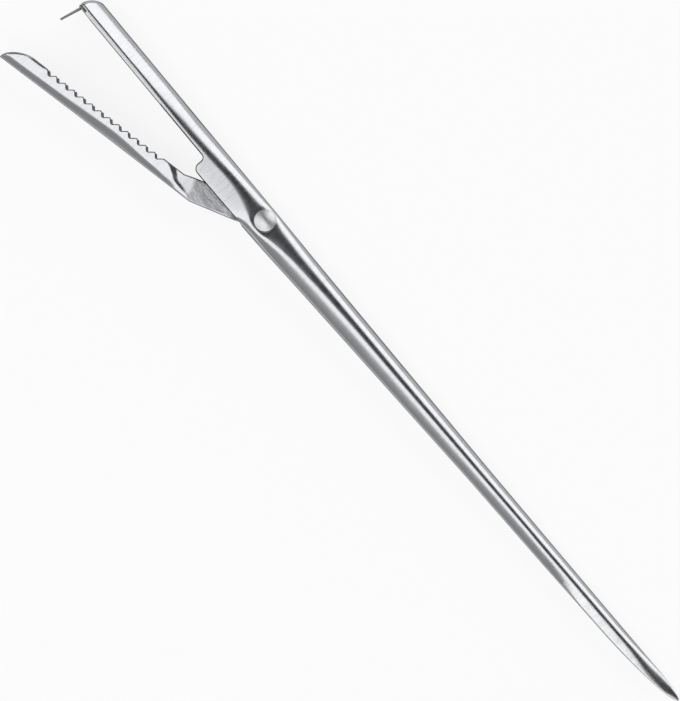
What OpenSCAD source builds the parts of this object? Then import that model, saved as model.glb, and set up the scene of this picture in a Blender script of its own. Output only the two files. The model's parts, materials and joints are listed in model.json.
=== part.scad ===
// Hinged larding needle of polished sheet steel.
// X runs from the hinge to the point, Y towards the back of the fixed jaw, Z along the hinge.
// The origin is where the hinge axis meets the flat end of the rivet's tail.

/* [Needle] */
// From the hinge to the point
point_length = 135; // [115:1:170]
// Outer radius of the tapered tube at the hinge
tube_radius = 3.8; // [3.7:0.05:4.2]
// Outer radius halfway down the shank
middle_radius = 2.36; // [2:0.02:2.8]
// From the hinge to the halfway radius
middle_length = 74; // [50:1:85]
// Outer radius where the point begins
point_radius = 2.1; // [1.8:0.02:2.3]
// Thickness of the rolled sheet
sheet = 0.5; // [0.4:0.02:0.55]
// From the hinge axis down to the axis of the tube
axis_drop = 0.85; // [0.7:0.05:0.95]

/* [Point] */
// Length of the ground underside of the point
point_taper = 30.5; // [20:0.5:36]
// Length of the rounded back of the point
point_back = 8; // [4:0.5:14]
// Slope of the ground flats along the needle, in degrees
flat_slope = 8.5; // [7:0.5:11]
// Lean of the ground flats towards the cutting edge, in degrees
flat_lean = 14; // [8:0.5:18]
// Half thickness left at the very point
point_edge = 0.1; // [0.05:0.01:0.2]

/* [Fixed jaw] */
// From the hinge to the end of the fixed jaw
fixed_length = 60.4; // [52:0.2:64]
// Outer radius of the fixed jaw at its end
fixed_radius = 4.95; // [4.6:0.05:5.2]
// From the back of the fixed jaw down to its rim
fixed_depth = 4.4; // [4.2:0.02:4.7]
// Length of the rounded end of the fixed jaw
fixed_nose = 3.1; // [2:0.1:4]

/* [Hinge] */
// Half of the thickness over the pressed cheeks
cheek_half = 2.7; // [2.6:0.05:2.85]
// From the hinge to the rear edge of the ears
ear_length = 18.5; // [16:0.1:19]
// From the hinge down to the free edge of the ears
ear_drop = 4.4; // [4.2:0.1:5]
// Rise of the ears' free edge towards the throat
ear_rise = 0.1; // [0:0.05:0.5]
// Radius of the ears' rear corner
ear_corner = 1.5; // [0.6:0.1:1.8]
// Radius of the inside corner between ear and rim
ear_fillet = 0.9; // [0.4:0.1:1]
// From the hinge to the throat, where the tube is closed
throat_length = 2.7; // [2.4:0.1:3]
// Length of the slope from the cheeks to the round trough
trough_blend = 10; // [7:1:24]
// From the hinge to where the flat cheeks end
cheek_front = 3; // [2.6:0.1:5]
// Length of the slope from the cheeks to the round shank
shank_blend = 9; // [6:0.5:14]

/* [Rivet] */
// Radius of the rivet's shank
shank_radius = 1.0; // [0.8:0.02:1.02]
// Radius of the domed head
head_radius = 2.375; // [1.8:0.025:2.5]
// Radius of the flat on the head's crown
head_flat = 0.5; // [0.2:0.05:1]
// Height of the domed head
head_height = 0.75; // [0.4:0.05:1]
// Radius of the tail
tail_radius = 2.1; // [1.7:0.05:2.4]
// Radius of the flat on the tail
tail_flat = 1.5; // [1:0.05:1.6]
// Height of the tail
tail_height = 0.6; // [0.4:0.05:0.9]
// Height of the straight edge of the head and the tail
head_edge = 0.2; // [0.1:0.02:0.3]

/* [Toothed jaw] */
// From the hinge to the end of the toothed jaw
jaw_length = 66.4; // [62:0.2:70]
// Outer radius of the toothed trough's round bottom, which is also half of its width
jaw_radius = 2.8; // [2.6:0.05:3.1]
// From the hinge down to the lowest line of the toothed jaw
jaw_bottom = 6.6; // [6.5:0.05:7]
// From that line up to the tooth tips
tooth_reach = 4.1; // [3.8:0.05:4.2]
// From that line up to the plain rim beside the teeth
rim_reach = 4.15; // [3.9:0.05:4.4]
// Least length of plain rim between the teeth and the rounded end
rim_end = 3.7; // [2.5:0.1:8]
// Distance from tooth to tooth
tooth_pitch = 2.4; // [2.3:0.01:2.5]
// Height of a tooth
tooth_height = 0.85; // [0.5:0.05:0.9]
// Length of the flat on a tooth's tip
tooth_flat = 0.16; // [0.08:0.02:0.24]
// Slope of a tooth on the side away from the hinge, in degrees
tooth_rise = 37.6; // [35:0.2:50]
// Slope of a tooth on the side of the hinge, in degrees
tooth_fall = 52; // [50:1:75]
// From the hinge to the tooth nearest to it
tooth_start = 27.4; // [27:0.1:28.5]
// Length of the rounded end of the toothed jaw
jaw_nose = 6.4; // [4:0.1:7]
// Angle that the jaw stands open, in degrees
open_angle = 11.6; // [0:0.1:11.6]

/* [Tang] */
// Half of the tang's width
tang_half = 2.0; // [1.8:0.05:2]
// Radius of the tang's round end at the hinge
tang_radius = 1.55; // [1.4:0.05:1.6]
// From the hinge to the kink in the lower edge
tang_kink = 15.5; // [14:0.1:17.5]
// From the hinge across to the line of the lower edge
tang_depth = 2.4; // [2:0.05:2.6]
// From the hinge axis down to the tang's upper edge over the kink
tang_drop = 1.1; // [0.9:0.05:1.4]
// Room between the tang's shoulder and the throat that stops it
stop_gap = 0.35; // [0.2:0.05:0.6]
// From the hinge to where the tang begins to widen
tang_length = 19.6; // [19.6:0.1:20.5]
// Length over which the tang widens into the trough
tang_blend = 7.4; // [5:0.1:10]
// Radial clearance of the rivet in the tang
rivet_clearance = 0.05; // [0.02:0.01:0.1]

/* [Spike] */
// Thickness of the spike's strip
spike_sheet = 0.45; // [0.35:0.01:0.5]
// Length of the strip across the mouth of the fixed jaw
spike_strip = 2.4; // [1.5:0.1:4]
// From the hinge axis up to the top face of the strip
spike_seat = 0.25; // [0:0.05:0.5]
// From the hinge axis down to the prong's tip
spike_reach = 5.0; // [3.5:0.1:5.1]
// Lean of the prong away from the hinge, in degrees
spike_lean = 10.5; // [0:0.5:14]
// Width of the prong where it leaves the strip
spike_width = 1.6; // [0.8:0.1:2.5]
// Width of the prong at its blunt tip
spike_tip = 0.3; // [0.2:0.05:0.6]

/* [Hidden] */
$fn = 96;
// Cuts run past what they cut by this much
past = 1;
// A curved cut starts this far outside the surface that it runs out of
skim = 0.05;
// Exponent of the blunt curve at the jaws' ends
nose_power = 1.65;
// Straight pieces along a curved outline
curve_steps = 12;
// As many teeth as fit between the tang and the plain end of the rim
tooth_count = floor((jaw_length - jaw_nose - rim_end - tooth_start) / tooth_pitch);
// Height of the middle plane over the flat of the rivet's tail
mid_height = cheek_half + tail_height;
// Half height of a block that takes in the whole needle
block = fixed_radius + jaw_bottom;
// Where the ground underside of the point begins
point_start = point_length - point_taper;
// Radius that the shank's own taper would reach at the point
end_radius = point_radius - (middle_radius - point_radius) * point_taper / (point_start - middle_length);
steel = "#c6c7c9";

// Radius of the tapered tube at a distance from the hinge
function tube_r(x) = lookup(x, [
    [-fixed_length, fixed_radius],
    [0, tube_radius],
    [middle_length, middle_radius],
    [point_start, point_radius],
    [point_length, end_radius]
]);
// Height of the fixed jaw's back and of its rim
function back_y(x) = tube_r(x) - axis_drop;
function rim_y(x) = back_y(x) - fixed_depth;
// A soft step from 0 to 1
function ease(s) = (1 - cos(180 * s)) / 2;
// Points of an arc between two angles
function arc(centre, r, from, to, steps = curve_steps) = [
    for (i = [0 : steps])
        let (a = from + (to - from) * i / steps) centre + r * [cos(a), sin(a)]
];
// Points of a blunt quarter curve, from the end of its long side to the end of its short side
function nose(long, short) = [
    for (i = [0 : curve_steps])
        let (a = 90 * i / curve_steps)
            [long * pow(cos(a), 2 / nose_power), short * pow(sin(a), 2 / nose_power)]
];

// Turns a shape that stands on Z so that it lies along X
module lying() {
    rotate([0, 90, 0])
        children();
}

// A block over the whole width, with an outline seen along the hinge
module side_block(outline) {
    linear_extrude(2 * block, center = true)
        polygon(outline);
}

// A block over the whole height whose half width follows a list of [x, half width]
module plan_block(halves) {
    outline = concat(halves, [for (i = [len(halves) - 1 : -1 : 0]) [halves[i][0], -halves[i][1]]]);
    rotate([90, 0, 0])
        linear_extrude(2 * block, center = true)
            polygon(outline);
}

// The tapered tube as a full solid, smaller by an inset, up to the last of its stations
module tube_solid(inset, last) {
    bends = [-fixed_length - past, 0, middle_length, point_start, point_length];
    stations = [for (x = bends) if (x < last) x];
    outline = concat(
        [[0, stations[0]]],
        [for (x = concat(stations, [last])) [tube_r(x) - inset, x]],
        [[0, last]]
    );
    translate([0, -axis_drop, 0])
        lying()
            rotate_extrude()
                polygon(outline);
}

// Half widths of the tube after its cheeks are pressed flat, from past the ears to the shank
function cheek_halves(inset) =
    let (
        rear = -(ear_length + ear_fillet + sheet),
        round = rear - trough_blend,
        front = cheek_front + shank_blend,
        wide = tube_r(round),
        shank = tube_r(front)
    )
    concat(
        [[-fixed_length - block, fixed_radius + past], [round - past, wide + past]],
        [
            for (i = [0 : curve_steps])
                let (s = i / curve_steps)
                    [round + s * trough_blend, wide + (cheek_half - wide) * ease(s) - inset]
        ],
        [
            for (i = [0 : curve_steps])
                let (s = i / curve_steps)
                    [cheek_front + s * shank_blend, cheek_half + (shank - cheek_half) * ease(s) - inset]
        ],
        [[front + past, tube_radius + past], [point_length + past, tube_radius + past]]
    );

// The open mouth below the fixed jaw, with its blunt end and the seat of the spike
module mouth() {
    seat_end = -fixed_length + spike_strip;
    nose_start = -fixed_length + fixed_nose;
    nose_rise = back_y(nose_start) + skim - spike_seat;
    side_block(concat(
        [
            [-throat_length, -block],
            [-throat_length, rim_y(-throat_length)],
            [seat_end, rim_y(seat_end)],
            [seat_end, spike_seat]
        ],
        [for (p = nose(fixed_nose, nose_rise)) [nose_start - p[0], spike_seat + p[1]]],
        [[nose_start, block], [-fixed_length - block, block], [-fixed_length - block, -block]]
    ));
}

// One flat ear, as seen along the hinge
module ear_outline() {
    rim = rim_y(-ear_length);
    polygon(concat(
        [
            [-throat_length, 0],
            [-ear_length - ear_fillet, 0]
        ],
        arc([-ear_length - ear_fillet, rim - ear_fillet], ear_fillet, 90, 0),
        arc([-ear_length + ear_corner, -ear_drop + ear_corner], ear_corner, 180, 270),
        [[-throat_length, -ear_drop + ear_rise]]
    ));
}

// The side outline of the point: a long ground underside and a short round back
module point_block() {
    low = tube_r(point_start) + axis_drop + skim;
    high = back_y(point_length - point_back) + skim;
    side_block(concat(
        [[-fixed_length - block, -block], [point_start, -block]],
        [for (i = [0 : curve_steps]) let (a = 90 * i / curve_steps)
            [point_start + point_taper * sin(a), -low * cos(a)]],
        [for (i = [1 : curve_steps]) let (a = 90 * i / curve_steps)
            [point_length - point_back + point_back * cos(a), high * sin(a)]],
        [[point_length - point_back, block], [-fixed_length - block, block]]
    ));
}

// What is ground off one side of the point
module point_flat() {
    reach = 2 * point_taper;
    translate([point_length, 0, point_edge])
        rotate([flat_lean, flat_slope, 0])
            translate([-reach, -block, 0])
                cube([2 * reach, 2 * block, 2 * block]);
}

module needle_body() {
    color(steel)
        translate([0, 0, mid_height])
            difference() {
                union() {
                    difference() {
                        intersection() {
                            tube_solid(0, point_length + past);
                            plan_block(cheek_halves(0));
                            point_block();
                        }
                        intersection() {
                            tube_solid(sheet, point_start - past);
                            plan_block(cheek_halves(sheet));
                        }
                        mouth();
                        point_flat();
                        mirror([0, 0, 1])
                            point_flat();
                    }
                    for (side = [0, 1])
                        mirror([0, 0, side])
                            translate([0, 0, cheek_half - sheet])
                                linear_extrude(sheet)
                                    ear_outline();
                }
                cylinder(r = shank_radius, h = 2 * block, center = true);
            }
}

// Half widths of the toothed jaw, from the narrow tang to the round trough
function jaw_halves(inset) = concat(
    [[-jaw_length - past, jaw_radius + past], [-tang_length - tang_blend - past, jaw_radius + past]],
    [
        for (i = [0 : curve_steps])
            let (s = i / curve_steps)
                [
                    -tang_length - tang_blend * (1 - s),
                    jaw_radius + (tang_half - jaw_radius) * ease(s) - inset
                ]
    ],
    [[tang_radius + past, tang_half - inset]]
);

// The toothed trough as a full solid, with a round bottom between straight sides
module jaw_round(inset) {
    r = jaw_radius - inset;
    translate([-jaw_length - past, jaw_radius - jaw_bottom, 0])
        lying()
            linear_extrude(jaw_length + tang_radius + 2 * past)
                polygon(concat(arc([0, 0], r, 180, 360, 2 * curve_steps), [[r, block], [-r, block]]));
}

// Slope of the tang's lower edge, which runs from the shoulder to the kink
tang_angle = atan2(jaw_bottom, tang_kink) - asin(tang_depth / norm([jaw_bottom, tang_kink]));
tang_direction = [-cos(tang_angle), -sin(tang_angle)];
tang_normal = [sin(tang_angle), -cos(tang_angle)];

// A place given with the jaw open, as it lies on the jaw itself
function on_jaw(p) = [
    p[0] * cos(open_angle) + p[1] * sin(open_angle),
    p[1] * cos(open_angle) - p[0] * sin(open_angle)
];
// The shoulder stands square to the needle when the jaw is open, from the round end down to the lower edge
shoulder_x = -throat_length - stop_gap;
shoulder_top = on_jaw([shoulder_x, (shoulder_x * sin(open_angle) - tang_radius) / cos(open_angle)]);
shoulder_foot = on_jaw([
    shoulder_x,
    shoulder_x * tan(tang_angle + open_angle) - tang_depth / cos(tang_angle + open_angle)
]);

// The teeth, from the end of the jaw to the hinge, between the corners of the plain rim
function teeth() =
    let (
        rim = rim_reach - jaw_bottom,
        top = tooth_reach - jaw_bottom,
        foot = top - tooth_height,
        rise = 1 / tan(tooth_rise),
        fall = 1 / tan(tooth_fall),
        far = -tooth_start - tooth_count * tooth_pitch,
        near = -tooth_start + tooth_pitch
    )
    concat(
        [[far, rim], [far + (rim - foot) * fall, foot]],
        [
            for (i = [tooth_count - 1 : -1 : 0])
                let (tip = -tooth_start - i * tooth_pitch)
                each [
                    [tip - tooth_flat / 2 - tooth_height * rise, foot],
                    [tip - tooth_flat / 2, top],
                    [tip + tooth_flat / 2, top],
                    [tip + tooth_flat / 2 + tooth_height * fall, foot]
                ]
        ],
        [[near - (rim - foot) * rise, foot], [near, rim]]
    );

// The side outline of the toothed jaw
module jaw_side() {
    lower_end = tang_depth * tang_normal + jaw_length / cos(tang_angle) * tang_direction;
    side_block(concat(
        [for (p = nose(jaw_nose, rim_reach)) [-jaw_length + jaw_nose - p[0], -jaw_bottom + p[1]]],
        teeth(),
        [[-tang_length, rim_reach - jaw_bottom], [-tang_kink, -tang_drop]],
        arc([0, 0], tang_radius, 90, -90, 2 * curve_steps),
        [shoulder_top, shoulder_foot, lower_end, [-jaw_length, lower_end[1]]]
    ));
}

// The room inside the toothed jaw, which is open at the top and at the hinge
module jaw_inside() {
    floor_foot = (tang_depth - sheet) * tang_normal;
    reach = 2 * jaw_length;
    low = floor_foot + reach * tang_direction;
    high = floor_foot - reach * tang_direction;
    intersection() {
        jaw_round(sheet);
        plan_block(jaw_halves(sheet));
        side_block([low, high, [low[0], high[1]]]);
    }
}

module toothed_jaw() {
    color(steel)
        translate([0, 0, mid_height])
            rotate(open_angle)
                difference() {
                    intersection() {
                        jaw_round(0);
                        plan_block(jaw_halves(0));
                        jaw_side();
                    }
                    jaw_inside();
                    cylinder(r = shank_radius + rivet_clearance, h = 2 * block, center = true);
                }
}

// A rivet end with a straight edge and a crown that is rounded down from a flat
module rivet_end(radius, height, flat) {
    crown = height - head_edge;
    rotate_extrude()
        polygon(concat(
            [[0, 0], [radius, 0]],
            [for (i = [0 : curve_steps]) let (a = 90 * i / curve_steps)
                [flat + (radius - flat) * cos(a), head_edge + crown * sin(a)]],
            [[0, height]]
        ));
}

module hinge_rivet() {
    color(steel)
        translate([0, 0, mid_height]) {
            cylinder(r = shank_radius, h = 2 * cheek_half, center = true);
            translate([0, 0, cheek_half])
                rivet_end(head_radius, head_height, head_flat);
            translate([0, 0, -cheek_half])
                mirror([0, 0, 1])
                    rivet_end(tail_radius, tail_height, tail_flat);
        }
}

// The prong, as seen along the hinge
module prong_outline() {
    drop = spike_seat + spike_reach;
    shift = drop * tan(spike_lean);
    wide = spike_sheet / cos(spike_lean);
    polygon([
        [-fixed_length, spike_seat],
        [-fixed_length - shift, -spike_reach],
        [-fixed_length - shift + wide, -spike_reach],
        [-fixed_length + wide, spike_seat]
    ]);
}

module spike() {
    drop = spike_seat + spike_reach;
    color(steel)
        translate([0, 0, mid_height]) {
            intersection() {
                translate([-fixed_length, spike_seat - spike_sheet, -block])
                    cube([spike_strip, spike_sheet, 2 * block]);
                tube_solid(0, 0);
            }
            intersection() {
                linear_extrude(spike_width, center = true)
                    prong_outline();
                translate([-fixed_length, spike_seat, 0])
                    rotate([0, 90, 0])
                        linear_extrude(2 * block, center = true)
                            polygon([
                                [-spike_width / 2, 0],
                                [spike_width / 2, 0],
                                [spike_tip / 2, -drop],
                                [-spike_tip / 2, -drop]
                            ]);
            }
        }
}

needle_body();
toothed_jaw();
hinge_rivet();
spike();
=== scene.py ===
"""Hinged larding needle of polished sheet steel, dressed on its CAD frame.

X runs from the hinge to the point, Y towards the back of the fixed jaw, Z along the hinge.
Shapes are worked out in millimetres from the middle plane of the needle and stored in metres.
"""

import json
import math

import bmesh
import bpy
import numpy as np
from mathutils import Matrix, Vector


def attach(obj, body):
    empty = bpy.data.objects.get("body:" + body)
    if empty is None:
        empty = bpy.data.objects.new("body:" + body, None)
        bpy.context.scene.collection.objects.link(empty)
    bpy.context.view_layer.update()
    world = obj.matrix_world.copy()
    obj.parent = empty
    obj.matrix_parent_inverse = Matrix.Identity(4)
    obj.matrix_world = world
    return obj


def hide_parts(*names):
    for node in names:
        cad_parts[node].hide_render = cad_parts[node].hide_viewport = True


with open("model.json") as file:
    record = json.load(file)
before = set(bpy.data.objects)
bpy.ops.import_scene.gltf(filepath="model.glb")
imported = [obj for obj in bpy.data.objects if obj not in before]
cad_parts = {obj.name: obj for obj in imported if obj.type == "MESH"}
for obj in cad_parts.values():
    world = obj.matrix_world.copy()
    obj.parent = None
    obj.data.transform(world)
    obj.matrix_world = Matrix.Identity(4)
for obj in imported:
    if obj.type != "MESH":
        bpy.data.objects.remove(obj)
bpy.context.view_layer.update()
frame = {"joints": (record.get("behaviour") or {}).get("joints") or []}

bl_info = {
    "name": "Larding needle",
    "version": (1, 0, 0),
    "blender": (4, 5, 0),
    "location": "3D View > Sidebar > Needle",
    "description": "Builds a hinged larding needle of polished sheet steel on its CAD frame",
    "category": "Add Mesh",
}

MM = 0.001
# The hinge axis meets the middle plane of the needle here
HINGE = Vector(frame["joints"][0]["pos_m"])
# The toothed jaw stands open at this angle in the rest pose, and its joint turns it shut from there
OPEN_ANGLE = math.radians(11.6)
# Radius of the rivet's shank
RIVET_SHANK = 1.0
# Finishes of a sheet, in the order of its material slots; the cut edge's dark colour is a painted shade, and
# the worked one is ground or rubbed
OUTSIDE, INSIDE, CUT_EDGE, WORKED = range(4)

# The needle along its length, as points (x, value) in millimetres
FIXED_END = -60.4
NEEDLE_RADIUS = (
    (FIXED_END, 4.95), (0, 3.8), (15, 3.4), (40, 2.93), (70, 2.38), (95, 2.08), (115, 1.9), (135, 1.75),
)
# The axis of the tube runs this far below the hinge
AXIS_DROP = 0.85
# Height of the widest line of the section, where its side stands upright
NEEDLE_RIDGE = (
    (-60, 0.7), (-45, 0.38), (-40, 0.25), (-35, 0), (-30, -0.2), (-25, -0.4), (-17, -0.5), (-13, -0.35),
    (-9, -0.6), (-5, -1.5), (-2.5, -2.4), (0, -2.8), (2, -2.6), (5, -2.05), (8, -1.6), (12, -1.35),
    (20, -1.05), (30, -0.88), (85, -AXIS_DROP), (92, -0.95), (118, -0.95), (122, -1.2), (126, -1.7),
    (130, -1.55), (133, -0.95), (135, 0),
)
# Slope at which the sides lean in above the widest line, and below it
CROWN_LEAN = (
    (-60, 0.6), (-45, 0.6), (-35, 0.52), (-28, 0.36), (-22, 0.18), (-17, 0.06), (-11, 0.05), (-6, 0.085),
    (0, 0.104), (4, 0.104), (10, 0.09), (20, 0.06), (32, 0), (118, 0), (121, 0.08), (125, 0.2), (131, 0.2),
    (135, 0.05),
)
KEEL_LEAN = (
    (-5, 0), (-3.5, 0.1), (-1, 0.5), (5, 0.55), (10, 0.47), (20, 0.45), (60, 0.47), (95, 0.55), (101, 0.42),
    (106, 0.1), (135, 0.05),
)
# Length over which a side bends into its lean: sharper towards the end of the fixed jaw
NEEDLE_BEND = ((-60, 0.22), (-45, 0.3), (-35, 0.6), (-25, 0.6), (135, 0.6))
# Half width of the section, which is pressed in at the hinge
NEEDLE_HALF = (
    (FIXED_END, 4.95), (-30, 4.37), (-26, 4.25), (-21, 3.2), (-17.5, 2.9), (-12, 2.72), (3, 2.7), (12, 3.2),
    (20, 3.28), (40, 2.93), (70, 2.38), (95, 2.08), (118, 1.9), (122, 1.7), (126, 1.2), (130, 0.75),
    (135, 0.08),
)
# Fullness of the upper half of the section: 2 is an ellipse, more is squarer
NEEDLE_CROWN = (
    (-60, 5), (-45, 5), (-35, 4.6), (-28, 3.4), (-22, 2.3), (-17, 2), (-9, 2.4), (-5, 2.85), (0, 3.2),
    (4, 3.2), (10, 2.8), (20, 2.6), (30, 2.3), (45, 2.1), (75, 2), (118, 2), (125, 3.2), (135, 3),
)
# Fullness of the lower half, which is straight at the ears and ground flat beside the point
NEEDLE_KEEL = (
    (-20, 6), (-8, 6), (-3, 4), (0, 2.8), (4, 4), (10, 6), (98, 6), (106, 14), (122, 14), (130, 5), (135, 2),
)
# How far the lower half would reach below the round of the tube if it were closed
KEEL_DROP = (
    (-20, 2.6), (-8, 2.2), (-5, 0.8), (-4.2, 0), (-3.4, -0.1), (-2, -0.12), (2, -0.05), (6, 0), (70, 0),
    (95, 0.15), (104, 0.1), (135, 0),
)
# The seat of the spike ends here
SEAT_END = -58.0
# The lower edges of the ears end here, in the round of the throat
THROAT_START = -3.4

# The toothed jaw along its own length, from its end to the hinge
JAW_LENGTH = 66.4
JAW_BOTTOM = -6.6
JAW_RIM = -2.45
# Length of the jaw's blunt end, and the power of its curve, which both jaws share
JAW_NOSE = 6.4
NOSE_POWER = 1.65
# Fullness of the lower half of the jaw's section
JAW_CROWN = 8
# From the lowest line up to where the sides stand upright
JAW_DOME = (
    (-66.4, 1.65), (-60, 1.7), (-50, 1.98), (-44, 2.25), (-37, 2.45), (-33, 2.25), (-30, 1.93), (-25, 1.55),
    (-20, 1.0), (-17, 0.6), (-15, 0.25), (0, 0.15),
)
# Slope at which the sides lean in below that, and the length over which they bend into it
JAW_LEAN = ((-66.4, 1.2), (-23, 1.2), (-17, 0), (0, 0))
JAW_BEND = 4.0
# Tips of teeth lie on this place and on every pitch from it
TOOTH_START = -27.4
TOOTH_PITCH = 2.4
TOOTH_COUNT = 12
TOOTH_TIP = -2.5
TOOTH_HEIGHT = 0.85
# The rim rises from the tang's start over its kink to its top at the hinge
TANG_START = -19.6
TANG_KINK = -15.5
TANG_DROP = -1.1
TANG_TOP = 1.55
# Lower edge of the tang: its slope, and its height where it would meet the hinge
TANG_SLOPE = 0.2657
TANG_LOW = -2.483


def to_linear(hex_colour):
    """Linear colour with alpha from an sRGB hex value"""
    channels = [int(hex_colour[i:i + 2], 16) / 255 for i in (1, 3, 5)]
    linear = [c / 12.92 if c <= 0.04045 else ((c + 0.055) / 1.055) ** 2.4 for c in channels]
    return (*linear, 1.0)


def along(points, x, soft=1.0):
    """Value at x on straight lines through points, with the corners rounded over a length"""
    places, values = zip(*points)
    steps = np.linspace(-soft, soft, 9)
    return np.mean([np.interp(np.asarray(x) + s, places, values) for s in steps], axis=0)


def ease(s):
    """Soft step from 0 to 1"""
    s = np.clip(s, 0, 1)
    return (1 - np.cos(np.pi * s)) / 2


def bent(distance, bend):
    """Distance along a line that starts level and bends into its slope"""
    return distance ** 2 / (distance + bend)


def curl(distance, reach, depth):
    """Share of a side's width that is left where the sheet is pressed in beside an edge"""
    return 1 - depth * np.clip(1 - distance / reach, 0, 1) ** 2


def blunt(share):
    """How far a jaw's blunt end reaches out at a share of its height: 1 at its low side, 0 at its top"""
    return np.clip(1 - share ** NOSE_POWER, 0, 1) ** (1 / NOSE_POWER)


def unit(vectors):
    """Vectors of length one"""
    return vectors / np.maximum(np.linalg.norm(vectors, axis=-1, keepdims=True), 1e-9)


def arc(centre, radius, start, end, steps):
    """Points of an arc between two angles in degrees"""
    turn = np.radians(np.linspace(start, end, steps + 1))
    return np.column_stack((centre[0] + radius * np.cos(turn), centre[1] + radius * np.sin(turn)))


def line(start, end, steps):
    """Points of a straight stretch, without its last one"""
    share = np.linspace(0, 1, steps, endpoint=False)[:, None]
    return np.asarray(start, float) * (1 - share) + np.asarray(end, float) * share


def solve_turn(height_at, wanted):
    """Turn between 0 and pi at which a height that falls with the turn takes a wanted value"""
    low = np.zeros_like(wanted)
    high = np.full_like(wanted, np.pi)
    for _ in range(40):
        middle = (low + high) / 2
        above = height_at(middle) > wanted
        low = np.where(above, middle, low)
        high = np.where(above, high, middle)
    return (low + high) / 2


def even_turns(skin, x, end_turn, half_rows, margin):
    """Turns that part each outline from its middle to its edge evenly, with a narrow row along the edge"""
    samples = 361
    share = np.append(np.linspace(0, 1, half_rows), 1)
    last = np.append(np.zeros(half_rows), 1)
    turns = end_turn[:, None] * np.linspace(0, 1, samples)[None, :]
    height, half = skin(np.repeat(x[:, None], samples, axis=1), turns)
    steps = np.hypot(np.diff(height, axis=1), np.diff(half, axis=1))
    length = np.concatenate((np.zeros((len(x), 1)), np.cumsum(steps, axis=1)), axis=1)
    found = []
    for column, total in enumerate(length[:, -1]):
        wanted = (total - margin) * share + margin * last
        found.append(np.interp(wanted, length[column], turns[column]))
    half_turns = np.array(found)
    return np.concatenate((half_turns[:, :0:-1], half_turns), axis=1)


def row_shares(half_rows):
    """Place of each row across a sheet, from -1 at one edge over 0 at its middle to 1 at the other"""
    return np.arange(-half_rows, half_rows + 1) / half_rows


def grid_normals(points, outward):
    """Normals of a grid of points, turned to the side of a grid of outward directions"""
    normals = unit(np.cross(np.gradient(points, axis=0), np.gradient(points, axis=1)))
    side = np.sign(np.sum(normals * outward, axis=2, keepdims=True))
    return normals * np.where(side == 0, 1, side)


def sheet_faces(x, y, z, turn, crown, sheet):
    """Outer points, their normals and inner points of a sheet; crown is 1, or -1 where it opens upwards"""
    half_rows = x.shape[1] // 2
    side = np.where(row_shares(half_rows) < 0, -1.0, 1.0)
    outer = np.stack((x, y, z * side[None, :]), axis=2)
    outward = np.stack((np.zeros_like(x), crown * np.cos(turn), np.sin(turn) * side[None, :]), axis=2)
    normals = grid_normals(outer, outward)
    return outer, normals, outer - normals * sheet


def edge_rounds(points, normals, loop, sheet, steps=4):
    """Rows of points round a cut edge of the sheet, one row for each place along the edge"""
    edge = np.array([points[i, j] for i, j in loop])
    normal = np.array([normals[i, j] for i, j in loop])
    ahead = np.roll(edge, -1, axis=0) - np.roll(edge, 1, axis=0)
    out = unit(np.cross(ahead, normal))
    rows = []
    for k in range(1, steps):
        turn = math.pi * k / steps
        rows.append(edge - normal * sheet / 2 + (normal * math.cos(turn) + out * math.sin(turn)) * sheet / 2)
    return np.stack(rows, axis=1)


class MeshDraft:
    """Vertices and faces of one piece, collected in millimetres from the middle plane"""

    def __init__(self):
        self.mesh = bmesh.new()

    def points(self, grid):
        """Adds a grid of points and returns its vertices in the same layout"""
        flat = [self.mesh.verts.new(tuple(p)) for p in grid.reshape(-1, 3)]
        return np.array(flat, dtype=object).reshape(grid.shape[:2])

    def face(self, corners, finish):
        """Adds a smooth face unless two of its corners are one vertex"""
        if len(set(corners)) < 3:
            return
        made = self.mesh.faces.new(tuple(dict.fromkeys(corners)))
        made.material_index = finish
        made.smooth = True

    def skin(self, verts, finish, flip=False, rim=None):
        """Adds the faces between neighbours of a grid of vertices, with a finish of its own along the rim"""
        columns, rows = verts.shape
        rim_finish = finish if rim is None else rim
        for i in range(columns - 1):
            for j in range(rows - 1):
                corners = [verts[i, j], verts[i + 1, j], verts[i + 1, j + 1], verts[i, j + 1]]
                at_rim = j in (0, rows - 2)
                self.face(corners[::-1] if flip else corners, rim_finish if at_rim else finish)

    def cut_edge(self, loop, outside, rounds, inside):
        """Closes a sheet along its cut edge, from its outside over a round to its inside"""
        rows = self.points(rounds)
        start = np.array([outside[i, j] for i, j in loop], dtype=object)
        end = np.array([inside[i, j] for i, j in loop], dtype=object)
        strip = np.column_stack((start, rows, end))
        # The cut edge's faces take the finish whose dark colour is a painted shade
        self.skin(np.vstack((strip, strip[:1])), CUT_EDGE)

    def object(self, name, finishes, turn=0.0):
        """Makes the piece from the draft, turned about the hinge and set in its place"""
        bmesh.ops.remove_doubles(self.mesh, verts=self.mesh.verts, dist=1e-4)
        bmesh.ops.recalc_face_normals(self.mesh, faces=self.mesh.faces)
        place = Matrix.Translation(HINGE) @ Matrix.Rotation(turn, 4, "Z") @ Matrix.Scale(MM, 4)
        bmesh.ops.transform(self.mesh, matrix=place, verts=self.mesh.verts)
        data = bpy.data.meshes.new(name)
        self.mesh.to_mesh(data)
        self.mesh.free()
        piece = bpy.data.objects.new(name, data)
        bpy.context.scene.collection.objects.link(piece)
        for finish in finishes:
            data.materials.append(finish)
        return piece


def apply_modifiers(piece):
    """Turns a piece's modifiers into plain mesh"""
    bpy.context.view_layer.update()
    shape = bpy.data.meshes.new_from_object(piece.evaluated_get(bpy.context.evaluated_depsgraph_get()))
    piece.modifiers.clear()
    piece.data = shape


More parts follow.
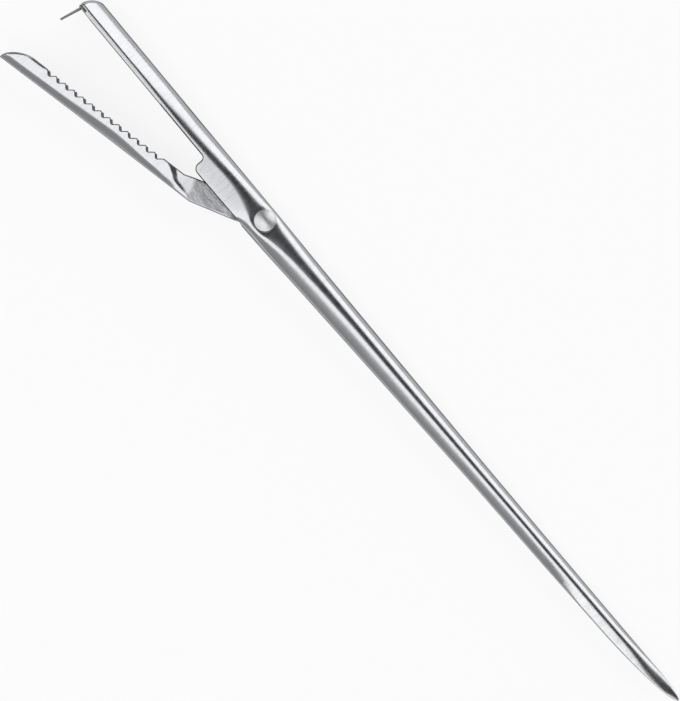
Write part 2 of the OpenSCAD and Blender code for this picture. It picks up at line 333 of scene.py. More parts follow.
def drill(piece, radius):
    """Cuts the rivet's hole through a piece"""
    through = 12
    bore = bmesh.new()
    bmesh.ops.create_cone(
        bore, cap_ends=True, segments=48, radius1=radius * MM, radius2=radius * MM, depth=through * MM,
        matrix=Matrix.Translation(HINGE),
    )
    data = bpy.data.meshes.new("rivet_hole")
    bore.to_mesh(data)
    bore.free()
    cutter = bpy.data.objects.new("rivet_hole", data)
    bpy.context.scene.collection.objects.link(cutter)
    cut = piece.modifiers.new("rivet_hole", "BOOLEAN")
    cut.object = cutter
    cut.solver = "EXACT"
    apply_modifiers(piece)
    bpy.data.objects.remove(cutter)


def sharpen(piece, degrees):
    """Marks the edges that turn by more than an angle as sharp"""
    mesh = bmesh.new()
    mesh.from_mesh(piece.data)
    for edge in mesh.edges:
        edge.smooth = len(edge.link_faces) == 2 and edge.calc_face_angle() < math.radians(degrees)
    mesh.to_mesh(piece.data)
    mesh.free()


def settle(piece, node, body):
    """Puts a finished piece in the place of its CAD node"""
    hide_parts(node)
    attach(piece, body)


# Finishes

def add(tree, kind, inputs=(), **settings):
    """Adds a node with its settings; an input is a value or the socket that is linked to it"""
    node = tree.nodes.new(kind)
    for name, value in settings.items():
        setattr(node, name, value)
    for name, value in dict(inputs).items():
        if isinstance(value, bpy.types.NodeSocket):
            tree.links.new(value, node.inputs[name])
        else:
            node.inputs[name].default_value = value
    return node


def steel_finish(name, colour, marks, rough, depth):
    """Stainless steel with marks (x, y, z lengths in mm) of a depth in mm, and a range of roughness"""
    material = bpy.data.materials.get(name)
    if material:
        return material
    material = bpy.data.materials.new(name)
    material.use_nodes = True
    tree = material.node_tree
    tree.nodes.clear()
    place = add(tree, "ShaderNodeTexCoord").outputs["Object"]
    stretched = add(tree, "ShaderNodeMapping", {
        "Vector": place,
        "Scale": [1 / (length * MM) for length in marks],
    }).outputs["Vector"]
    lines = add(tree, "ShaderNodeTexNoise", {
        "Vector": stretched, "Scale": 1.0, "Detail": 3.0, "Roughness": 0.6,
    }).outputs["Fac"]
    # Clouds where the buff pressed harder or lighter
    cloud_size = 3
    clouds = add(tree, "ShaderNodeTexNoise", {
        "Vector": place, "Scale": 1 / (cloud_size * MM), "Detail": 2.0,
    }).outputs["Fac"]
    mixed = add(tree, "ShaderNodeMath", {0: lines, 1: clouds}, operation="MULTIPLY").outputs["Value"]
    roughness = add(tree, "ShaderNodeMapRange", {
        "Value": mixed, "From Min": 0.1, "From Max": 0.45, "To Min": rough[0], "To Max": rough[1],
    }).outputs["Result"]
    bump = add(tree, "ShaderNodeBump", {
        "Height": lines, "Strength": 1.0, "Distance": depth * MM,
    }).outputs["Normal"]
    # Grime stays in some of the marks and dulls them to this share of the colour
    grime_share = 0.86
    grime = add(tree, "ShaderNodeMapRange", {
        "Value": lines, "From Min": 0.48, "From Max": 0.78,
    }).outputs["Result"]
    tint = add(tree, "ShaderNodeMix", {
        "Factor": grime, "A": colour, "B": [part * grime_share for part in colour[:3]] + [1.0],
    }, data_type="RGBA")
    # The specular tint darkens the steel where it is seen at a glancing angle, as in the photograph
    shader = add(tree, "ShaderNodeBsdfPrincipled", {
        "Base Color": tint.outputs["Result"], "Metallic": 1.0, "Roughness": roughness, "Normal": bump,
        "Specular Tint": to_linear("#505050"),
    })
    add(tree, "ShaderNodeOutputMaterial", {"Surface": shader.outputs["BSDF"]})
    return material


def buffed_steel():
    """Rolled stainless sheet, buffed bright on a wheel.

    The wheel leaves fine marks round the needle, so reflections are clear with softened ends.
    The marks are drawn 0.25 mm apart, coarser than real ones, so that they show in the render.
    """
    colour = bpy.context.scene.needle_finish.buffed
    return steel_finish("stainless_buffed", colour, marks=(0.25, 2.5, 2.5), rough=(0.2, 0.27), depth=0.0002)


def pressed_steel():
    """Stainless sheet as it came from the press, with the dull even skin of cold rolling.

    It is the inside of both jaws, which the wheel can't reach.
    """
    colour = bpy.context.scene.needle_finish.pressed
    return steel_finish("stainless_as_pressed", colour, marks=(3, 0.5, 0.5), rough=(0.36, 0.5), depth=0.001)


def sheared_steel_with_painted_shade():
    """Cut edge of the stainless sheet, torn by the die and then only touched by the wheel.

    It scatters light more than the faces beside it, and its dark colour is a painted shade, so it reads as a
    thin dark outline.
    """
    # Painted shade: this dark grey stands in for the shade along the cut edges, and is not the steel's own
    # colour
    colour = bpy.context.scene.needle_finish.sheared_and_shaded
    return steel_finish(
        "stainless_sheared_edge_painted_shade", colour, marks=(0.3, 0.3, 0.3), rough=(0.3, 0.46), depth=0.002,
    )


def ground_steel():
    """Stainless steel ground flat on a belt and buffed after it.

    Short marks run across the point, where the belt bit deepest, and it is paler than the buffed faces.
    """
    colour = bpy.context.scene.needle_finish.ground
    return steel_finish("stainless_ground", colour, marks=(0.4, 1.5, 1.5), rough=(0.24, 0.38), depth=0.0004)


def rubbed_steel():
    """Pressed stainless sheet that the ears have rubbed dull in patches.

    Its shallow hollows, two or three millimetres across, break the lights up into clouds.
    """
    colour = bpy.context.scene.needle_finish.buffed
    return steel_finish("stainless_rubbed", colour, marks=(3.5, 2.2, 3.5), rough=(0.26, 0.4), depth=0.09)


def riveted_steel():
    """Stainless wire headed in a die, then buffed with the needle.

    The die leaves a satin skin with faint dents, so the head has soft lights and no hard ones.
    """
    colour = bpy.context.scene.needle_finish.ground
    return steel_finish("stainless_headed", colour, marks=(0.5, 0.5, 0.5), rough=(0.34, 0.44), depth=0.0008)


# Needle

def quarter_round(x, start, length):
    """Share of a height that is left along a quarter round, from 1 at its start to 0"""
    return np.sqrt(np.clip(1 - (np.maximum(x - start, 0) / length) ** 2, 0, 1))


def needle_back(x):
    """Height of the needle's back, which rounds down at the point"""
    back = along(NEEDLE_RADIUS, x, 4) - AXIS_DROP
    round_start = 127.0
    round_length = 8.05
    drop = quarter_round(x, round_start, round_length)
    return np.where(x > round_start, np.minimum(back, back * drop), back)


def needle_belly(x):
    """Height of the needle's underside, which is ground up towards the point"""
    belly = -AXIS_DROP - along(NEEDLE_RADIUS, x, 4) - along(KEEL_DROP, x, 0.4)
    ground_start = 104.5
    ground_length = 30.55
    ground_depth = 3.0
    rise = quarter_round(x, ground_start, ground_length)
    return np.where(x > ground_start, np.maximum(belly, -ground_depth * rise), belly)


def needle_skin(x, turn):
    """Height and half width of the needle's outer face, from the back (turn 0) to the seam (turn pi)"""
    least_height = 0.02
    ridge = along(NEEDLE_RIDGE, x, 2)
    half = along(NEEDLE_HALF, x, 1.5)
    up = np.cos(turn)
    out = np.abs(np.sin(turn))
    over = up >= 0
    height = np.where(over, needle_back(x) - ridge, ridge - needle_belly(x))
    height = np.maximum(height, least_height)
    power = np.where(over, along(NEEDLE_CROWN, x, 3), along(NEEDLE_KEEL, x, 1.5))
    reach = ((np.abs(up) / height) ** power + (out / half) ** power) ** (-1 / power)
    lean = np.where(over, along(CROWN_LEAN, x, 2), along(KEEL_LEAN, x, 2))
    lean = lean * bent(np.abs(reach * up), along(NEEDLE_BEND, x, 2))
    return ridge + reach * up, reach * out * (1 - lean / half)


def needle_rim(x):
    """Height of the fixed jaw's rim, which steps up to the seat of the spike"""
    rim_depth = 4.4
    seat = 0.27
    step = 0.3
    rim = np.interp(x, *zip(*NEEDLE_RADIUS)) - AXIS_DROP - rim_depth
    return rim + (seat - rim) * ease((SEAT_END + step / 2 - x) / step)


def needle_edge(edge):
    """Free edge of the needle from the jaw's end to the throat, set back by the edge's own round"""
    nose_x = FIXED_END + edge
    fillet_x = -19.4
    fillet_radius = 0.9
    corner_middle = (-17.0, -2.9)
    corner_radius = 1.5
    throat_y = -4.48
    # Columns stand closer together at the step of the seat
    step_reach = 0.3
    rim_x = np.concatenate((
        np.linspace(nose_x, SEAT_END - step_reach, 8, endpoint=False),
        np.linspace(SEAT_END - step_reach, SEAT_END + step_reach, 10, endpoint=False),
        np.linspace(SEAT_END + step_reach, fillet_x, 64, endpoint=False),
    ))
    rim = np.column_stack((rim_x, needle_rim(rim_x) + edge))
    fillet_rim = float(needle_rim(np.array(fillet_x)))
    fillet = arc((fillet_x, fillet_rim - fillet_radius), fillet_radius + edge, 90, 0, 10)
    corner = arc(corner_middle, corner_radius - edge, 180, 270, 14)
    rear = line(fillet[-1], corner[0], 6)[1:]
    lower = line(corner[-1], (THROAT_START, throat_y + edge), 30)[1:]
    return rim, np.concatenate((fillet, rear, corner)), lower


def needle_columns(edge):
    """Columns along the needle: places at its back and at its free edge, and turns of that edge.

    The last two values are the height of the free edge at the jaw's end and the first closed column.
    """
    rim, ear, lower = needle_edge(edge)
    # The open part has a column for each place along the free edge
    edge_x = np.concatenate((rim[:, 0], ear[:, 0], lower[:, 0]))
    edge_y = np.concatenate((rim[:, 1], ear[:, 1], lower[:, 1]))
    edge_turn = solve_turn(lambda turn: needle_skin(edge_x, turn)[0], edge_y)
    core_x = np.concatenate((rim[:, 0], np.linspace(ear[0, 0], ear[-1, 0], len(ear)), lower[:, 0]))
    # In the throat the free edges turn down to the seam and meet
    throat_depth = 1.2
    bend = np.linspace(0, math.pi / 2, 13)
    throat_x = THROAT_START + throat_depth * np.sin(bend)
    throat_turn = edge_turn[-1] + (math.pi - edge_turn[-1]) * (1 - np.cos(bend))
    seam = len(core_x) + len(throat_x) - 1
    # The columns of the closed shank are closer together at the hinge and at the point
    shank_x = np.concatenate((
        np.linspace(-2.0, 20, 50, endpoint=False), np.linspace(20, 92, 60, endpoint=False),
        np.linspace(92, 130, 64, endpoint=False), np.linspace(130, 134.96, 26),
    ))
    core_x = np.concatenate((core_x, throat_x, shank_x))
    edge_x = np.concatenate((edge_x, throat_x, shank_x))
    edge_turn = np.concatenate((edge_turn, throat_turn, np.full(len(shank_x), math.pi)))
    return core_x, edge_x, edge_turn, edge_y[0], seam


def needle_nose(turn, nose_base, edge):
    """Place of the fixed jaw's blunt end in each row"""
    nose_start = -57.3
    nose_length = 3.1 - edge
    measured_x = -59.0
    nose_y, _ = needle_skin(np.full_like(turn, measured_x), turn)
    nose_rise = np.maximum((nose_y - nose_base) / (nose_y.max() - nose_base), 0)
    return nose_start - nose_length * blunt(nose_rise)


def rivet_dimple(x, y):
    """Share of the cheeks' width that is left where the rivet draws them in round its head"""
    head_reach = 2.2
    depth = 0.07
    fade = 0.85
    past_head = np.maximum(np.hypot(x, y) - head_reach, 0)
    return 1 - depth * np.exp(-(past_head / fade) ** 2)


def build_needle_body(sizes):
    """The rolled needle with its fixed jaw, its ears and its ground point"""
    sheet = sizes.sheet / MM
    edge = sheet / 2
    half_rows = 34
    core_x, edge_x, edge_turn, nose_base, seam = needle_columns(edge)
    # Near the free edge the rows slant over to its places
    slant_start = 0.3
    slant = ease((np.abs(row_shares(half_rows)) - slant_start) / (1 - slant_start))
    x = core_x[:, None] + (edge_x - core_x)[:, None] * slant[None, :]
    turn = even_turns(needle_skin, edge_x, edge_turn, half_rows, 0.1)
    # The first columns lean over to follow the blunt end of the jaw
    lean_end = -48.0
    nose_x = needle_nose(turn[0], nose_base, edge)
    part = ((core_x - core_x[0]) / (lean_end - core_x[0]))[:, None]
    leaned = nose_x[None, :] + (lean_end - nose_x)[None, :] * part
    x = np.where((core_x < lean_end)[:, None], leaned, x)
    y, z = needle_skin(x, turn)
    z = z * curl(x - nose_x[None, :], reach=0.9, depth=0.12)
    z = z * rivet_dimple(x, y)
    outer, normals, inner = sheet_faces(x, y, z, turn, 1, sheet)
    # The two rows of the inside meet along the closed seam
    inner[seam:, [0, -1], 2] = 0

    draft = MeshDraft()
    outside = draft.points(outer)
    draft.skin(outside, OUTSIDE)
    # The inside is open up to the throat and ends a little way into the tube
    inside_end = 9.0
    last = int(np.searchsorted(core_x, inside_end))
    inside = draft.points(inner[:last + 1])
    draft.skin(inside, INSIDE, flip=True)
    draft.face(list(inside[last, :-1]), INSIDE)
    draft.face(list(outside[-1, :-1]), OUTSIDE)
    top = 2 * half_rows
    loop = [(0, j) for j in range(top + 1)]
    loop += [(i, top) for i in range(1, seam + 1)]
    loop += [(i, 0) for i in range(seam - 1, 0, -1)]
    draft.cut_edge(loop, outside, edge_rounds(outer, normals, loop, sheet), inside)
    # The flats beside the point are ground, and so is the fixed jaw's rim near its end
    ground_start = 100.0
    ground_top = -AXIS_DROP - 0.2
    rim_end = -33.0
    for face in draft.mesh.faces:
        centre = face.calc_center_median()
        at_point = centre.x > ground_start and centre.y < ground_top
        at_rim = centre.x < rim_end and face.material_index == CUT_EDGE
        if at_point or at_rim:
            face.material_index = WORKED
    return draft.object("needle_sheet", [buffed_steel(), pressed_steel(), sheared_steel_with_painted_shade(), ground_steel()])


# Toothed jaw

def jaw_bottom(u):
    """Height of the jaw's lowest line, which bows a little and then rises along the tang"""
    bow_middle = -30
    bow_reach = 28
    bow_depth = 0.15
    bow = bow_depth * ((np.asarray(u) - bow_middle) / bow_reach) ** 2
    tang = TANG_LOW + TANG_SLOPE * np.asarray(u)
    return np.maximum(JAW_BOTTOM - bow, tang)


def tang_half(u, v):
    """Half width of the tang, which leans in towards its top"""
    half = 2.0
    # Between the ears it narrows, most at its foot, to turn clear of them and of the throat
    narrow_start = -6.8
    narrow_length = 2.6
    foot_top = -1.2
    narrower = (0.6 + 0.3 * ease((foot_top - v) / 2)) * ease((u - narrow_start) / narrow_length)
    return half - 0.056 * (v + 3) - 0.15 * np.maximum(v + 1.5, 0) - narrower


def pressed_step(u, v):
    """How far a side steps out at the curved crease that falls from the rim to the kink"""
    crease = np.interp(
        v, (-6.2, -5.8, -5.5, -5.25, -5.0, -4.5, -4.0, -3.2, -2.4),
        (-16.0, -17.2, -18.3, -19.2, -20.1, -20.9, -21.4, -22.3, -23.0),
    )
    rise = np.interp(v, (-6.2, -5.3, -3.2), (0.0, 0.2, 0.5))
    broad = np.interp(v, (-6.2, -2.4), (2.0, 2.8))
    return rise * ease((crease + broad / 2 - u) / broad)


def jaw_half(u, v):
    """Half width of the jaw's upright side: the tang, the pressed step beside it and the trough"""
    trough = 2.3
    spread = 0.45
    tang = tang_half(u, v)
    # Past the kink the sides spread, and they fan out towards the rim
    slope = spread * ease((-16.6 - u) / 3.4) + 0.1 * (v + 4) * ease((-16.2 - u) / 1.2) * ease((u + 24) / 3)
    in_trough = ease((-19.0 - u) / 6)
    return tang + (trough - tang) * in_trough + slope + pressed_step(u, v) - spread * in_trough


def jaw_skin(u, turn):
    """Height and half width of the jaw's outer face, from its lowest line (turn 0) up its side"""
    dome = along(JAW_DOME, u, 1.5)
    ridge = jaw_bottom(u) + dome
    down = np.cos(turn)
    out = np.abs(np.sin(turn))
    # Worked out for a half width of one dome, and then drawn to the width at that height
    round_reach = ((np.abs(down) / dome) ** JAW_CROWN + (out / dome) ** JAW_CROWN) ** (-1 / JAW_CROWN)
    reach = np.where(down >= 0, round_reach, dome / np.maximum(out, 1e-3))
    v = ridge - reach * down
    lean = along(JAW_LEAN, u, 1.5) * bent(np.maximum(ridge - v, 0), JAW_BEND)
    return v, reach * out / dome * (jaw_half(u, v) - lean)


def tooth_line(u):
    """Height of the toothed rim between its plain ends"""
    rise = math.tan(math.radians(37.6))
    fall = math.tan(math.radians(52))
    # Half the flat at the tip of a tooth
    flat = 0.08
    foot = TOOTH_TIP - TOOTH_HEIGHT
    past_tip = np.mod(u - TOOTH_START + TOOTH_PITCH / 2, TOOTH_PITCH) - TOOTH_PITCH / 2
    rising = TOOTH_TIP + flat * rise + past_tip * rise
    falling = TOOTH_TIP + flat * fall - past_tip * fall
    flank = np.where(past_tip < 0, rising, falling)
    # A tooth's foot may lie past the half pitch, so the next tooth's rise is looked at as well
    next_rise = TOOTH_TIP + flat * rise + (past_tip - TOOTH_PITCH) * rise
    teeth = np.clip(np.maximum(flank, next_rise), foot, TOOTH_TIP)
    far = TOOTH_START - TOOTH_COUNT * TOOTH_PITCH
    near = TOOTH_START + TOOTH_PITCH
    return np.where((u < far) | (u > near), JAW_RIM, teeth)


def jaw_edge(edge):
    """Free edge of the jaw's rim, from the jaw's end to the hinge, set back by the edge's own round"""
    # Tips and feet of the teeth are rounded over this length to each side
    soft = 0.1
    teeth_far = -57.2
    teeth_near = -24.4
    plain_far = np.linspace(-JAW_LENGTH + JAW_NOSE, teeth_far, 10, endpoint=False)
    teeth = np.arange(teeth_far, teeth_near, TOOTH_PITCH / 20)
    plain_near = np.linspace(teeth[-1] + 0.15, TANG_START, 18, endpoint=False)
    tang = np.linspace(TANG_START, 0, 44)
    u = np.concatenate((plain_far, teeth, plain_near, tang))
    rim = np.mean([tooth_line(u + s) for s in np.linspace(-soft, soft, 7)], axis=0)
    tang_top = np.interp(u, (TANG_START, TANG_KINK, 0), (JAW_RIM, TANG_DROP, TANG_TOP))
    v = np.where(u > TANG_START, tang_top, rim)
    return u, v - edge


def jaw_end(share, edge):
    """The tang's outline at the hinge, from the lower edge (share 0) round to the top (share 1)"""
    foot_u = -4.2
    foot = (foot_u, float(jaw_bottom(foot_u)))
    shoulder = (-2.9, -1.4)
    turn = arc((0, 0), TANG_TOP - edge, -115, 90, 24)
    path = np.vstack((line(foot, shoulder, 6), line(shoulder, turn[0], 6), turn))
    steps = np.concatenate(([0], np.cumsum(np.linalg.norm(np.diff(path, axis=0), axis=1))))
    steps /= steps[-1]
    return np.interp(share, steps, path[:, 0]), np.interp(share, steps, path[:, 1])


def jaw_grid(half_rows, edge):
    """Places and turns of the jaw's grid, and the place of its blunt end in each row"""
    edge_u, edge_v = jaw_edge(edge)
    share = np.abs(row_shares(half_rows))

    def turn_to(u, v):
        """Turn at which the jaw's side reaches a height"""
        return solve_turn(lambda turn: -jaw_skin(u, turn)[0], -v)

    def turn_above_bottom(u, v, bottom_u):
        """The same for a height that is kept just above the jaw's lowest line"""
        return turn_to(u, np.maximum(v, jaw_bottom(bottom_u) + 1e-3))

    # The jaw's end leans back from its lowest point up to the rim
    lean_column = 12
    nose_columns = 26
    nose_base = float(jaw_bottom(-JAW_LENGTH + edge))
    nose_v = nose_base + (JAW_RIM - edge - nose_base) * share
    nose_u = -JAW_LENGTH + JAW_NOSE - (JAW_NOSE - edge) * blunt(share * 0.995)
    part = np.linspace(0, 1, nose_columns, endpoint=False)[:, None]
    u_nose = nose_u[None, :] + (edge_u[lean_column] - nose_u)[None, :] * part
    # The tang's end follows its own outline round the hinge
    tail_start = -7.0
    end_u, end_v = jaw_end(share, edge)
    tail_from = int(np.searchsorted(edge_u, tail_start))
    tail = np.linspace(0, 1, 22)[1:, None]
    u_tail = edge_u[tail_from] + (end_u - edge_u[tail_from])[None, :] * tail

    body_u = edge_u[lean_column:tail_from + 1]
    body_v = edge_v[lean_column:tail_from + 1]
    body_turn = even_turns(jaw_skin, body_u, turn_to(body_u, body_v), half_rows, 0.24)
    nose_turn = turn_above_bottom(nose_u, nose_v, nose_u)
    nose_turns = nose_turn[None, :] + (body_turn[0] - nose_turn)[None, :] * part
    end_turn = turn_above_bottom(np.minimum(end_u, -0.2), end_v, end_u)
    tail_turns = body_turn[-1][None, :] + (end_turn - body_turn[-1])[None, :] * tail
    u = np.vstack((u_nose, np.repeat(body_u[:, None], len(share), axis=1), u_tail))
    return u, np.vstack((nose_turns, body_turn, tail_turns)), nose_u


def build_toothed_jaw(sizes):
    """The moving jaw: a trough with a toothed rim on each side, pressed in to a tang at the hinge"""
    sheet = sizes.sheet / MM
    edge = sheet / 2
    half_rows = 36
    u, turn, nose_u = jaw_grid(half_rows, edge)
    v, z = jaw_skin(u, turn)
    z = z * curl(u - nose_u[None, :], reach=0.9, depth=0.16)
    # The plain rim beside the jaw's end is pressed in as well
    plain_start = -55.5
    z = z * curl(JAW_RIM - edge - v, reach=0.8, depth=0.06 * ease((plain_start - u) / 3))
    outer, normals, inner = sheet_faces(u, v, z, turn, -1, sheet)

    draft = MeshDraft()
    outside = draft.points(outer)
    inside = draft.points(inner)
    columns = outer.shape[0]
    # The outside row along the rim takes the cut edge's painted shade as well, which widens the dark outline
    # of the teeth
    draft.skin(outside, OUTSIDE, rim=CUT_EDGE)
    draft.skin(inside, INSIDE, flip=True)
    top = 2 * half_rows
    loop = [(0, j) for j in range(top + 1)]
    loop += [(i, top) for i in range(1, columns)]
    loop += [(columns - 1, j) for j in range(top - 1, -1, -1)]
    loop += [(i, 0) for i in range(columns - 2, 0, -1)]
    draft.cut_edge(loop, outside, edge_rounds(outer, normals, loop, sheet), inside)
    # The ears rub on the outside of the tang
    rubbed_start = TANG_KINK - 1.1
    for face in draft.mesh.faces:
        if face.calc_center_median().x > rubbed_start and face.material_index == OUTSIDE:
            face.material_index = WORKED
    finishes = [buffed_steel(), pressed_steel(), sheared_steel_with_painted_shade(), rubbed_steel()]
    return draft.object("toothed_sheet", finishes, OPEN_ANGLE)


# Rivet and spike

def build_hinge_rivet(sizes):
    """The hinge rivet: a domed head, a shank through both cheeks and a flat tail"""
    head = sizes.rivet_head / MM / 2
    cheek = 2.7
    middle = 0.02
    # The head is a blunt cone with a round top
    crown = 0.88
    cone = math.tan(math.radians(26))
    top_round = 1.3
    radius = np.linspace(0.1, head - 0.06, 20)
    fall = cone * (np.sqrt(radius ** 2 + top_round ** 2) - top_round)
    dome = np.column_stack((radius, cheek + crown - fall))
    # The tail is flat with a rounded edge
    tail_flat = 1.5
    tail_round = 0.6
    tail_depth = 0.6
    turn = np.linspace(0, math.pi / 2, 13)
    tail = np.column_stack((
        tail_flat + tail_round * np.sin(turn), -cheek - tail_depth + 0.35 * (1 - np.cos(turn)),
    ))
    profile = np.vstack((
        [(middle, cheek + crown)], dome,
        [(head, cheek - 0.02), (head, cheek - 0.55), (RIVET_SHANK, cheek - 0.6)],
        [(RIVET_SHANK, -cheek + 0.4), (2.05, -cheek + 0.35)], tail[::-1], [(middle, -cheek - tail_depth)],
    ))
    steps = 72
    angle = np.linspace(0, 2 * math.pi, steps + 1)
    grid = np.stack((
        profile[:, 0][:, None] * np.cos(angle)[None, :],
        profile[:, 0][:, None] * np.sin(angle)[None, :],
        np.repeat(profile[:, 1][:, None], steps + 1, axis=1),
    ), axis=2)
    # The head follows the lean of the cheek under it
    lean = math.tan(math.radians(5))
    head_rows = len(dome) + 4
    grid[:head_rows, :, 2] -= lean * grid[:head_rows, :, 1]
    draft = MeshDraft()
    verts = draft.points(grid)
    draft.skin(verts, OUTSIDE)
    draft.face(list(verts[0, :-1]), OUTSIDE)
    draft.face(list(verts[-1, :-1]), OUTSIDE)
    piece = draft.object("rivet", [riveted_steel()])
    sharpen(piece, 35)
    return piece


def build_spike():
    """The small strip across the end of the fixed jaw, with its bent prong"""
    thick = 0.45
    seat = 0.25
    half = 4.85
    root = 0.8
    tip = 0.15
    bend_radius = 0.5
    bend_x = FIXED_END + bend_radius
    lean = math.radians(10.5)
    # Upper face of the strip, and then of the prong, from the inner end round the bend to the tip
    bend = arc((bend_x, seat - bend_radius), bend_radius, 90, 180 + math.degrees(lean) * 0.9, 8)
    prong_depth = 5.0
    prong_end = (FIXED_END - (seat + prong_depth) * math.tan(lean), -prong_depth)
    prong = np.vstack((line(bend[-1], prong_end, 10)[1:], [prong_end]))
    strip_x = np.linspace(SEAT_END - 0.05, bend_x, 5, endpoint=False)
    # Places across the strip: beside the prong, over it and beside it again
    beside = 9
    across = np.concatenate((
        np.linspace(-half, -root, beside), np.linspace(-root, root, 5)[1:-1], np.linspace(root, half, beside),
    ))
    draft = MeshDraft()
    top = np.array([[(x, seat, z) for z in across] for x in np.append(strip_x, bend_x)])
    draft.skin(draft.points(top), OUTSIDE)
    path = np.vstack((bend, prong))
    taper_start = 0.25
    reach = np.linspace(0, 1, len(path))
    widths = root + (tip - root) * np.clip((reach - taper_start) / (1 - taper_start), 0, 1)
    leg = np.array([[(p[0], p[1], z * w) for z in np.linspace(-1, 1, 5)] for p, w in zip(path, widths)])
    draft.skin(draft.points(leg), OUTSIDE)
    # The strip's free end is cut off short beside the prong
    short = 0.3
    rim = np.array([[(FIXED_END + bend_radius * (1 - k), seat, z) for z in across] for k in (0, short)])
    for part in (rim[:, :beside], rim[:, -beside:]):
        draft.skin(draft.points(part), OUTSIDE)
    bmesh.ops.remove_doubles(draft.mesh, verts=draft.mesh.verts, dist=1e-3)
    # The strip takes the cut edge's dark colour, a painted shade for a strip seen edge-on
    piece = draft.object("spike_strip", [sheared_steel_with_painted_shade()])
    wall = piece.modifiers.new("thickness", "SOLIDIFY")
    wall.thickness = thick * MM
    wall.offset = -1
    wall.use_even_offset = True
    soft = piece.modifiers.new("rounded_edges", "BEVEL")
    soft.width = 0.08 * MM
    soft.segments = 2
    soft.limit_method = "ANGLE"
    apply_modifiers(piece)
    return piece


# Properties, operators and panel

class NeedleSizes(bpy.types.PropertyGroup):
    """Sizes that a user would change"""

    sheet: bpy.props.FloatProperty(
        name="Sheet", description="Thickness of the rolled sheet", default=0.5 * MM, unit="LENGTH",
        precision=5,
    )
    rivet_head: bpy.props.FloatProperty(
        name="Rivet head", description="Diameter of the rivet's domed head", default=4.75 * MM, unit="LENGTH",
        precision=5,
    )


class NeedleFinish(bpy.types.PropertyGroup):
    """Colours of the steel and of the floor"""

    buffed: bpy.props.FloatVectorProperty(
        name="Buffed", description="Colour of the buffed faces", subtype="COLOR", size=4,
        default=to_linear("#B5B6B9"), min=0, max=1,
    )
    pressed: bpy.props.FloatVectorProperty(
        name="As pressed", description="Colour inside the jaws", subtype="COLOR", size=4,
        default=to_linear("#A2A3A5"), min=0, max=1,
    )
    # Painted shade: a dark grey for every cut edge, standing in for the shade that outlines them
    sheared_and_shaded: bpy.props.FloatVectorProperty(
        name="Cut edges", description="Colour of the sheared edges", subtype="COLOR", size=4,
        default=to_linear("#6C6D6F"), min=0, max=1,
    )
    ground: bpy.props.FloatVectorProperty(
        name="Ground", description="Colour of the ground flats and of the rivet", subtype="COLOR", size=4,
        default=to_linear("#C0C1C3"), min=0, max=1,
    )
    floor: bpy.props.FloatVectorProperty(
        name="Floor", description="Colour of the studio floor", subtype="COLOR", size=4,
        default=to_linear("#ECECEC"), min=0, max=1,
    )


class NeedleBodyOperator(bpy.types.Operator):
    """Build the rolled needle with its fixed jaw and ears"""

    bl_idname = "larding.needle_body"
    bl_label = "Needle body"

    def execute(self, context):
        piece = build_needle_body(context.scene.needle_sizes)
        drill(piece, RIVET_SHANK)
        settle(piece, "needle_body", "needle")
        return {"FINISHED"}


class ToothedJawOperator(bpy.types.Operator):
    """Build the moving jaw with its teeth and tang"""

    bl_idname = "larding.toothed_jaw"
    bl_label = "Toothed jaw"

    def execute(self, context):
        room = 0.05
        piece = build_toothed_jaw(context.scene.needle_sizes)
        drill(piece, RIVET_SHANK + room)
        settle(piece, "toothed_jaw", "jaw")
        return {"FINISHED"}


class HingeRivetOperator(bpy.types.Operator):
    """Build the rivet of the hinge"""

    bl_idname = "larding.hinge_rivet"
    bl_label = "Hinge rivet"

    def execute(self, context):
        settle(build_hinge_rivet(context.scene.needle_sizes), "hinge_rivet", "needle")
        return {"FINISHED"}


class SpikeOperator(bpy.types.Operator):
    """Build the spike at the end of the fixed jaw"""

    bl_idname = "larding.spike"
    bl_label = "Spike"

    def execute(self, context):
        settle(build_spike(), "spike", "needle")
        return {"FINISHED"}


class StageOperator(bpy.types.Operator):
    """Set the floor, the lamps, the world and the camera"""

    bl_idname = "larding.stage"
    bl_label = "Stage"

    def execute(self, context):
        lay_floor()
        hang_lamps()
        paint_world()
        set_camera()
        context.scene.view_settings.view_transform = "Standard"
        return {"FINISHED"}


class NeedlePanel(bpy.types.Panel):
    """Lists the sizes, the colours and the pieces"""

    bl_label = "Larding needle"
    bl_idname = "VIEW3D_PT_larding_needle"
    bl_space_type = "VIEW_3D"
    bl_region_type = "UI"
    bl_category = "Needle"

    def draw(self, context):
        for group in (context.scene.needle_sizes, context.scene.needle_finish):
            for name in group.__annotations__:
                self.layout.prop(group, name)
        for operator in OPERATORS:
            self.layout.operator(operator.bl_idname)


# Stage

